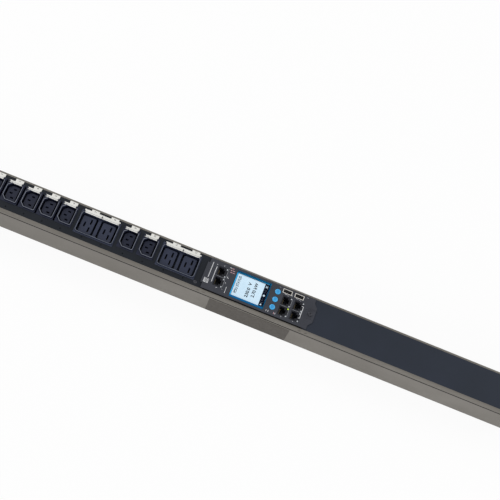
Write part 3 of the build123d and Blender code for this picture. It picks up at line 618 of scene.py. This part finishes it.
def makeSeals(p):  # one black strip of painted shade in each groove, and one on each side of the controller's plate
    low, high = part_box("body_channel")
    plateLow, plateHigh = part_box("controller_plate")
    top = high.z - p["grooveDrop"] * mm
    floor = plateLow.z + p["gapFloor"] * mm
    form = bmesh.new()
    for side in (-1, 1):
        near, far = sorted(side * (high.y - depth * mm) for depth in (
            p["grooveDepth"], p["grooveDepth"] - p["stripDepth"]))
        addSlab(form, (low.x, near, top - p["grooveWidth"] * mm), (high.x, far, top))
    for side in (-1, 1):
        near, far = sorted((side * plateHigh.y, side * (plateHigh.y - p["gapWidth"] * mm)))
        addSlab(form, (plateLow.x + p["gapLeft"] * mm, near, floor),
                (plateHigh.x - p["gapRight"] * mm, far, floor + p["gapStrip"] * mm))
    finishPiece(meshPiece("rubberStrips", form, ["sealRubber"]))


makeSeals(shadeStrips)
print("seals made")


# Sockets and buttons

usbLips = dict(outside=(14.4, 7.0), inside=(12.4, 5.2), thickness=0.2)


def makeUsbLips(p):  # the folded lip of each shell, which lies on the plate
    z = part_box("controller_plate")[1].z
    top = z + p["thickness"] * mm
    outX, outY = (s * mm / 2 for s in p["outside"])
    inX, inY = (s * mm / 2 for s in p["inside"])
    form = bmesh.new()
    for number in (1, 2):
        low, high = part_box(f"usb_socket_{number}")
        x = (low.x + high.x) / 2
        y = (low.y + high.y) / 2
        addSlab(form, (x - outX, y - outY, z), (x + outX, y - inY, top))
        addSlab(form, (x - outX, y + inY, z), (x + outX, y + outY, top))
        addSlab(form, (x - outX, y - inY, z), (x - inX, y + inY, top))
        addSlab(form, (x + inX, y - inY, z), (x + outX, y + inY, top))
    finishPiece(meshPiece("usbShellLips", form, ["nickelPlate"]))


makeUsbLips(usbLips)

buttonCap = dict(
    sides=48, radius=4.1, tip=1.1, tipHeight=0.2, stem=1.3, flange=4.9, flangeBase=1.1,
    flangeHeight=0.8,
    crown=[(1.0, 0.62), (0.96, 0.3), (0.86, 0.08), (0.74, 0.0)],  # share of the radius, drop
    dish=2.6, dishLip=0.02, dishDepth=0.25,
    bowl=[(0.9, 0.6), (0.5, 1.0)])  # share of the dish's radius, share of its depth


def makeButtonCaps(p):  # domed caps with a shallow deeper-blue dish for the fingertip
    r = p["radius"] * mm
    dish = p["dish"] * mm
    for number in (1, 2, 3):
        low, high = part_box(f"button_{number}")
        flange = low.z + p["flangeBase"] * mm
        shoulder = flange + p["flangeHeight"] * mm
        rings = [
            (p["tip"] * mm, low.z), (p["stem"] * mm, low.z + p["tipHeight"] * mm),
            (p["stem"] * mm, flange), (p["flange"] * mm, flange), (p["flange"] * mm, shoulder),
            (r, shoulder),
        ]
        rings += [(r * share, high.z - drop * mm) for share, drop in p["crown"]]
        rings += [(dish, high.z - p["dishLip"] * mm)]
        rings += [(dish * share, high.z - p["dishDepth"] * mm * depth) for share, depth in p["bowl"]]
        form = bmesh.new()
        addRings(form, [(radius, height, 0, 0) for radius, height in rings], p["sides"])
        for face in form.faces:
            reach = max(math.hypot(v.co.x, v.co.y) for v in face.verts)
            if reach < dish + tolerance and face.calc_center_median().z > shoulder:
                face.material_index = 1
        centre = ((low.x + high.x) / 2, (low.y + high.y) / 2, 0)
        bmesh.ops.translate(form, verts=form.verts[:], vec=centre)
        piece = meshPiece(f"buttonCap{number}", form, ["bluePolycarbonate", "deepPolycarbonate"])
        finishPiece(piece, f"push_button_{number}", [f"button_{number}"])


makeButtonCaps(buttonCap)

jackContacts = dict(count=8, pitch=1.02, wire=(0.5, 0.34, 7.0), wall=1.4, fromBack=1.35, sink=8.0)
jackLights = dict(size=(1.9, 2.0, 0.5), offset=6.1, fromRight=1.3, proud=0.05, lit=4)


def makeJackDetails(contacts, lights):  # a comb of contact wires and two light pipes in each jack
    points = []
    form = bmesh.new()
    wide, long, deep = (s * mm for s in lights["size"])
    for number in range(1, 7):
        low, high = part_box(f"network_jack_{number}")
        middle = (low.y + high.y) / 2
        points.append((low.x + (contacts["wall"] + contacts["fromBack"]) * mm, middle,
                       high.z - contacts["sink"] * mm))
        for side in (-1, 1):
            x = high.x - lights["fromRight"] * mm
            y = middle + side * lights["offset"] * mm
            index = 1 if number == lights["lit"] and side > 0 else 0
            addSlab(form, (x - wide / 2, y - long / 2, high.z - deep / 2),
                    (x + wide / 2, y + long / 2, high.z + lights["proud"] * mm), index)
    combs = grow("jackContactWires", combTree, {
        "Count": contacts["count"], "Pitch": contacts["pitch"] * mm,
        "Bar Size": [s * mm for s in contacts["wire"]], "Material": materials["goldFlash"]},
        pointMesh(points))
    finishPiece(combs)
    finishPiece(meshPiece("jackLightPipes", form, ["clearPipe", "litPipe"]))


makeJackDetails(jackContacts, jackLights)

usbParts = dict(tongue=(11.2, 2.0, 11.0), fromFar=1.8, sink=1.9, contacts=4, pitch=2.3,
                strip=(1.3, 0.12, 7.0), stripDrop=0.4)


def makeUsbDetails(p):  # a tongue in each shell, with contact strips on its near face
    tongues = bmesh.new()
    strips = bmesh.new()
    wide, thick, deep = (s * mm for s in p["tongue"])
    stripWide, stripThick, stripLong = (s * mm for s in p["strip"])
    for number in (1, 2):
        low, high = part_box(f"usb_socket_{number}")
        x = (low.x + high.x) / 2
        y = high.y - p["fromFar"] * mm
        top = high.z - p["sink"] * mm
        face = y - thick / 2
        addSlab(tongues, (x - wide / 2, face, top - deep), (x + wide / 2, y + thick / 2, top))
        for i in range(p["contacts"]):
            middle = x + (i - (p["contacts"] - 1) / 2) * p["pitch"] * mm
            addSlab(strips, (middle - stripWide / 2, face - stripThick, top - stripLong),
                    (middle + stripWide / 2, face, top - p["stripDrop"] * mm))
    finishPiece(meshPiece("usbTongues", tongues, ["jackPbt"]))
    finishPiece(meshPiece("usbContactStrips", strips, ["goldFlash"]))


makeUsbDetails(usbParts)
print("sockets and buttons made")


# Display

picture = dict(
    width=48.96, height=36.72, barWidth=6.6, lift=0.03, layer=0.02, bold=0.035,
    rows=[  # words, their place from the left edge and the centre line, length, height
        ("PDU STATUS", 4.4, 1.0, 28.0, 4.2), ("230.0  V", 21.4, -0.8, 24.5, 5.0),
        ("2.70 kW", 30.4, 2.6, 24.0, 5.0)],
    signSize=1.5, arrow=(2.6, 5.6), cross=4.2, stroke=0.55)  # signs on the bar, from its nearest end
frameBands = [  # where each printed band starts, in from the left, near, right and far edge
    ("screenTeal", (0.0, 0.0, 0.0, 0.0)), ("screenBlue", (0.2, 0.5, 5.0, 5.0)),
    ("screenCyan", (0.4, 5.0, 0.4, 0.5)), ("screenBlue", (1.3, 5.0, 1.3, 1.4)),
    ("screenCyan", (5.0, 5.0, 5.0, 1.9)),
]


def readAcross(x, y, z):  # place of words that read across the unit, from its near side to its far side
    return Matrix.Translation((x, y, z)) @ Matrix.Rotation(math.pi / 2, 4, "Z")


def addFittedWords(form, words, place, length, height, p, index):  # drawn to a length and a height
    start = len(form.verts)
    addWords(form, words, 1.0, Matrix.Identity(4), index, p["layer"], p["bold"])
    form.verts.ensure_lookup_table()
    verts = form.verts[start:]
    low = [min(v.co[i] for v in verts) for i in range(2)]
    high = [max(v.co[i] for v in verts) for i in range(2)]
    for vert in verts:
        along = ((vert.co.x - low[0]) / (high[0] - low[0]) - 0.5) * length * mm
        up = ((vert.co.y - low[1]) / (high[1] - low[1]) - 0.5) * height * mm
        vert.co = place @ Vector((along, up, vert.co.z))


def pictureEdges(p):  # left, near, right and far edge of the picture, which lies in the window's middle
    low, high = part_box("display_window")
    cx = (low.x + high.x) / 2
    cy = (low.y + high.y) / 2
    halfX = p["width"] * mm / 2
    halfY = p["height"] * mm / 2
    return cx - halfX, cy - halfY, cx + halfX, cy + halfY


def makePicture(p):  # pale field with words, and a dark bar with an arrow, a dot and a cross
    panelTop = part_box("display_panel")[1].z
    left, near, right, far = pictureEdges(p)
    middle = (near + far) / 2
    z = panelTop + p["lift"] * mm
    layer = p["layer"] * mm
    bar = right - p["barWidth"] * mm
    pale, navy, dark, white = range(4)
    form = bmesh.new()
    addSlab(form, (left, near, panelTop), (right, far, z), pale)
    addSlab(form, (bar, near, z), (right, far, z + layer), navy)
    for words, x, y, length, height in p["rows"]:
        place = readAcross(left + x * mm, middle + y * mm, z + layer)
        addFittedWords(form, words, place, length, height, p, dark)
    x = (bar + right) / 2
    size = p["signSize"] * mm
    top = z + 2 * layer
    foot, tip = (near + v * mm for v in p["arrow"])
    addOutline(form, [(x - size, foot), (x + size, foot), (x, tip)], z, top, white)
    addOutline(form, arcPoints(x, middle, size, 0, 360, 16)[:-1], z, top, white)
    thin = p["stroke"] * mm
    for lean in (-1, 1):
        stroke = [(-size, -size * lean - thin), (-size, -size * lean + thin),
                  (size, size * lean + thin), (size, size * lean - thin)]
        addOutline(form, [(x + a, far - p["cross"] * mm + b) for a, b in stroke], z,
                   top + (lean + 1) * layer / 2, white)
    piece = meshPiece("displayPicture", form, ["screenPale", "screenNavy", "screenText", "screenWhite"])
    finishPiece(piece)


thinnest = 0.01  # a side of a band that is narrower, in millimetres, isn't drawn


def makeWindowFrame(p, bands):  # border printed round the window in bands, each one ring of slabs
    low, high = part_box("display_window")
    outer = (low.x, low.y, high.x, high.y)
    inner = pictureEdges(p)
    rings = []
    for name, reaches in bands:
        starts = [edge + sign * reach * mm for edge, sign, reach in zip(outer, (1, 1, -1, -1), reaches)]
        rings.append([min(max(at, min(a, b)), max(a, b)) for at, a, b in zip(starts, outer, inner)])
    rings.append(inner)
    names = list(dict.fromkeys(name for name, reaches in bands))
    form = bmesh.new()
    z = high.z
    top = z + p["layer"] * mm
    for (name, reaches), (x0, y0, x3, y3), (x1, y1, x2, y2) in zip(bands, rings, rings[1:]):
        slabs = [((x0, y0), (x3, y1)), ((x0, y2), (x3, y3)), ((x0, y1), (x1, y2)), ((x2, y1), (x3, y2))]
        for a, b in slabs:
            if min(b[0] - a[0], b[1] - a[1]) > thinnest * mm:
                addSlab(form, (*a, z), (*b, top), names.index(name))
    finishPiece(meshPiece("windowFrame", form, names))


makePicture(picture)
makeWindowFrame(picture, frameBands)
print("display made")


# Printed marks on the controller plate, in millimetres from its left edge and the centre line

prints = dict(
    layer=0.02,
    inks=["whiteInk", "greyInk", "roseInk", "darkInk"],
    bars=[  # x, y, length along x, length along y, number of the ink
        (7.9, 7.45, 1.0, 25.5, 0), (14.7, 2.7, 0.9, 25.8, 0), (152.8, -2.7, 0.9, 19.4, 0),
        (151.6, 7.0, 2.6, 0.8, 0), (151.6, -12.4, 2.6, 0.8, 0), (34.4, 21.4, 3.2, 0.9, 0),
        (38.0, 21.4, 3.0, 0.9, 2), (36.2, 18.1, 2.4, 0.9, 2), (39.8, 18.1, 3.6, 0.9, 2),
        (37.0, 14.8, 3.2, 0.9, 2), (40.8, 14.8, 2.8, 0.9, 2), (34.4, 5.4, 0.8, 2.6, 0),
        (35.5, 4.3, 2.2, 0.7, 0), (38.1, -14.3, 0.7, 10.5, 0), (34.4, -4.2, 1.2, 1.2, 0),
        (111.4, 22.6, 2.6, 0.6, 1), (154.6, 22.8, 3.0, 0.7, 1), (103.2, -19.9, 0.7, 3.0, 0),
        (106.2, -19.9, 0.7, 3.4, 0), (114.9, -19.7, 0.8, 3.2, 2), (116.9, -19.7, 0.8, 2.6, 0),
        (122.5, 15.3, 3.4, 0.6, 0), (140.3, 15.3, 3.4, 0.6, 0), (14.0, 18.8, 1.6, 0.7, 0),
        (32.2, 10.4, 0.5, 11.5, 1), (32.2, -6.2, 0.5, 11.5, 1), (24.5, 2.1, 14.0, 0.4, 1),
        (134.3, 5.0, 0.5, 11.5, 1), (134.3, -11.6, 0.5, 11.5, 1), (126.8, -3.3, 14.0, 0.4, 1),
        (145.4, -3.3, 13.0, 0.4, 1),
    ],
    codeAt=(6.8, -11.2), codeSize=7.2, codeCells=12, codeFill=0.86, codeDark=0.45, codeSeed=11,
    words=[  # letters, x, y, height
        ("A", 24.6, 20.6, 1.9), ("B", 24.6, -16.0, 1.9), ("C", 126.4, 14.4, 1.7),
        ("D", 126.4, -20.6, 1.7), ("E", 145.0, 14.4, 1.7), ("F", 145.0, -20.6, 1.7),
        ("1", 33.1, 18.3, 1.4), ("2", 33.1, -15.4, 1.4), ("USB", 112.4, 16.2, 1.3),
        ("USB", 131.6, 16.2, 1.3),
    ],
)


def makePrints(p):  # bars, letters, and a square code of random cells
    low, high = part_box("controller_plate")
    z = high.z
    top = z + p["layer"] * mm
    form = bmesh.new()
    for x, y, wide, long, ink in p["bars"]:
        x = low.x + x * mm
        y = y * mm
        addSlab(form, (x - wide * mm / 2, y - long * mm / 2, z),
                (x + wide * mm / 2, y + long * mm / 2, top), ink)
    half = p["codeSize"] * mm / 2
    cx = low.x + p["codeAt"][0] * mm
    cy = p["codeAt"][1] * mm
    addSlab(form, (cx - half, cy - half, z), (cx + half, cy + half, top), 0)
    cells = p["codeCells"]
    size = 2 * half * p["codeFill"] / cells
    dark = p["inks"].index("darkInk")
    chance = random.Random(p["codeSeed"])
    for i in range(cells):
        for j in range(cells):
            if chance.random() < p["codeDark"]:
                x = cx + (i - cells / 2) * size
                y = cy + (j - cells / 2) * size
                addSlab(form, (x, y, top), (x + size, y + size, top + p["layer"] * mm), dark)
    for words, x, y, size in p["words"]:
        addWords(form, words, size, readAcross(low.x + x * mm, y * mm, top))
    finishPiece(meshPiece("platePrints", form, p["inks"]))


makePrints(prints)

latch = dict(bead=0.28, sides=6, steps=18, arcs=[(0.0, 6.2, 60, 300), (0.0, 8.6, 100, 260)],
             bars=[(-3.0, 8.0, 9.0, 8.0)])


def makeLatchLines(p):  # raised lines moulded round the captive screw
    low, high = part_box("controller_screw")
    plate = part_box("controller_plate")[1].z
    x = (low.x + high.x) / 2 / mm
    y = (low.y + high.y) / 2 / mm
    lines = [arcPoints(x + shift, y, radius, first, last, p["steps"])
             for shift, radius, first, last in p["arcs"]]
    for side in (1, -1):
        lines += [[(x + x0, y + side * y0), (x + x1, y + side * y1)] for x0, y0, x1, y1 in p["bars"]]
    piece = grow("latchLines", beadTree, {
        "Bead Radius": p["bead"] * mm, "Sides": p["sides"], "Material": materials["mouldedAbs"]},
        lineMesh([[(u * mm, v * mm, plate) for u, v in line] for line in lines]))
    finishPiece(piece)


makeLatchLines(latch)

markerMarks = dict(
    kinds=[("c13", 8, (6.0,)), ("c19", 2, (9.0, 39.3))],  # markers of each kind, their numbers' places
    size=3.0, bold=0.03, layer=0.02, fromFar=2.3, shadeLineFromNear=1.8, shadeLine=0.5, post=(1.1, 2.6, 0.9),
    postFromNear=2.0, backFromNear=4.0, backWidth=1.7, backSink=1.5, backDrop=0.01)


def makeMarkerMarks(p):  # numbers, grey lines of painted shade, small posts, and a white strip behind the large markers
    form = bmesh.new()
    tabs = []
    posts = []
    wide, long, tall = (v * mm for v in p["post"])
    dark, grey, white = range(3)
    for kind, total, offsets in p["kinds"]:
        for number in range(1, total + 1):
            low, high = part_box(f"{kind}_marker_{number}")
            tabs += [(high.x - offset * mm, high.y, high.z) for offset in offsets]
            # a thin grey line of painted shade along each marker
            shadeLine = low.y + p["shadeLineFromNear"] * mm
            addSlab(form, (low.x, shadeLine - p["shadeLine"] * mm / 2, high.z),
                    (high.x, shadeLine + p["shadeLine"] * mm / 2, high.z + p["layer"] * mm), grey)
            ends = [low.x + wide / 2, high.x - wide / 2]
            if kind == "c19":
                back = low.y + p["backFromNear"] * mm
                addSlab(form, (low.x, back, high.z - p["backSink"] * mm),
                        (high.x, back + p["backWidth"] * mm, high.z - p["backDrop"] * mm), white)
                ends.append((low.x + high.x) / 2)
            posts += [(x, low.y + p["postFromNear"] * mm, high.z + tall / 2) for x in ends]
    for count, (x, y, z) in enumerate(sorted(tabs), 1):
        place = readAcross(x, y - p["fromFar"] * mm, z)
        addWords(form, str(count), p["size"], place, dark, p["layer"], p["bold"])
    marks = meshPiece("markerPrints", form, ["darkInk", "greyInk", "whiteAcetal"])
    finishPiece(marks)
    pegs = grow("markerPosts", combTree, {
        "Count": 1, "Pitch": wide, "Bar Size": (wide, long, tall),
        "Material": materials["mouldedNylon"]}, pointMesh(posts))
    finishPiece(pegs)


makeMarkerMarks(markerMarks)
print("prints made")


# Cord gland

glandDome = dict(
    sides=48, corner=1.12, clearance=0.05,
    skirt=[(0.0, 0.96), (0.5, 1.0), (8.4, 1.0), (9.0, 0.95)],  # six-sided: height, share of the flats
    dome=[(9.0, 0.93), (11.5, 0.9), (14.0, 0.83), (16.0, 0.745), (17.0, 0.7)],  # round, the same way
    ribs=18, ribSize=(1.3, 1.3, 4.0), ribCircle=0.88, ribMiddle=11.0)


def makeGlandNut(p):  # six-sided skirt, then a round dome with ribs, all bored through
    low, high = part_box("gland_nut")
    sealLow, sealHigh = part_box("gland_seal")
    centre = (low + high) / 2
    flats = (high.z - low.z) / 2
    length = high.x - low.x
    bore = (sealHigh.z - sealLow.z) / 2 + p["clearance"] * mm
    angles = [2 * math.pi * i / p["sides"] for i in range(p["sides"])]
    sectors = [(a + math.pi / 6) % (math.pi / 3) - math.pi / 6 for a in angles]
    hexagon = [min(flats / math.cos(sector), flats * p["corner"]) for sector in sectors]
    loops = [(height * mm, [radius * scale for radius in hexagon]) for height, scale in p["skirt"]]
    loops += [(min(height * mm, length), [flats * share] * p["sides"]) for height, share in p["dome"]]
    loops += [(height, [bore] * p["sides"]) for height in (length, 0.0)]
    form = bmesh.new()
    rows = [[form.verts.new((low.x + height, centre.y + r * math.cos(a), centre.z + r * math.sin(a)))
             for r, a in zip(radii, angles)] for height, radii in loops]
    for lower, upper in zip(rows, rows[1:] + rows[:1]):
        joinLoops(form, lower, upper)
    nut = meshPiece("glandDomeNut", form, ["glandPolyamide"])
    finishPiece(nut, replaced=["gland_nut"])
    ribs = grow("glandDomeRibs", ribTree, {
        "Count": p["ribs"], "Radius": flats * p["ribCircle"],
        "Rib Size": [s * mm for s in p["ribSize"]], "Material": materials["glandPolyamide"]})
    middle = Matrix.Translation((low.x + p["ribMiddle"] * mm, centre.y, centre.z))
    ribs.data.transform(middle @ Matrix.Rotation(math.pi / 2, 4, "Y"))
    finishPiece(ribs)


makeGlandNut(glandDome)
print("gland made")


# Camera, floor and light

view = dict(place=(-35.6, -707.2, 1602.7), turns=(-26.39, 1.37, -22.04), lens=84.6, sensor=36,
            farthest=20000)


def makeCamera(p):  # turns are in degrees about x, y and z, from the world to the camera
    data = bpy.data.cameras.new("camera")
    data.lens = p["lens"]
    data.sensor_width = p["sensor"]
    data.clip_end = p["farthest"] * mm
    camera = addObject("camera", data)
    x, y, z = (math.radians(a) for a in p["turns"])
    toCamera = Matrix.Rotation(z, 3, "Z") @ Matrix.Rotation(y, 3, "Y") @ Matrix.Rotation(x, 3, "X")
    camera.matrix_world = Matrix.Translation(Vector(p["place"]) * mm) @ toCamera.transposed().to_4x4()
    scene.camera = camera


makeCamera(view)

studio = dict(floorSize=12.0, floorTop=-0.0005, floorBottom=-0.02, floorColour="#f4f4f4", seen=0.93,
              world="#ffffff", ambient=0.5)
lamps = [  # in metres and watts, each one aimed at the middle of the unit's back
    dict(name="keyLamp", place=(-1.5, 1.2, 1.6), size=1.2, power=20),
    dict(name="frontLamp", place=(0.4, -2.2, 0.8), size=1.8, power=26),
    dict(name="rimLamp", place=(1.7, 0.9, 1.2), size=1.0, power=8),
]


def seenRays(tree):  # 1 where the background is seen: straight on, mirrored, or through the window
    path = addNode(tree, "ShaderNodeLightPath")
    mirrored = addNode(tree, "ShaderNodeMath", {"operation": "MAXIMUM"}, {
        0: path.outputs["Is Glossy Ray"], 1: path.outputs["Is Transmission Ray"]})
    return addNode(tree, "ShaderNodeMath", {"operation": "MAXIMUM"}, {
        0: path.outputs["Is Camera Ray"], 1: mirrored.outputs["Value"]}).outputs["Value"]


def makeStudio(p):  # its sizes are in metres
    form = bmesh.new()
    half = p["floorSize"] / 2
    addSlab(form, (-half, -half, p["floorBottom"]), (half, half, p["floorTop"]))
    floor = meshPiece("floor", form, [])
    material, tree = emptyMaterial("paleFloor")
    paper = addNode(tree, "ShaderNodeBsdfDiffuse", {}, {"Color": hexColour(p["floorColour"])})
    white = addNode(tree, "ShaderNodeEmission", {}, {"Color": (1, 1, 1, 1), "Strength": 1.0})
    share = addNode(tree, "ShaderNodeMath", {"operation": "MULTIPLY"}, {
        0: seenRays(tree), 1: p["seen"]})
    mixed = addNode(tree, "ShaderNodeMixShader", {}, {
        0: share.outputs["Value"], 1: paper.outputs["BSDF"], 2: white.outputs["Emission"]})
    addNode(tree, "ShaderNodeOutputMaterial", {}, {"Surface": mixed.outputs["Shader"]})
    floor.data.materials.append(material)
    world = bpy.data.worlds.new("studioWorld")
    world.use_nodes = True
    scene.world = world
    tree = world.node_tree
    tree.nodes.clear()
    level = addNode(tree, "ShaderNodeMapRange", {}, {
        "Value": seenRays(tree), "To Min": p["ambient"], "To Max": 1.0})
    sky = addNode(tree, "ShaderNodeBackground", {}, {
        "Color": hexColour(p["world"]), "Strength": level.outputs["Result"]})
    addNode(tree, "ShaderNodeOutputWorld", {}, {"Surface": sky.outputs["Background"]})


makeStudio(studio)

for lamp in lamps:
    data = bpy.data.lights.new(lamp["name"], "AREA")
    data.size = lamp["size"]
    data.energy = lamp["power"]
    source = addObject(lamp["name"], data)
    aim = -Vector(lamp["place"])
    turn = aim.to_track_quat("-Z", "Y").to_matrix().to_4x4()
    source.matrix_world = Matrix.Translation(lamp["place"]) @ turn

scene.view_settings.view_transform = "Standard"
print("studio made")
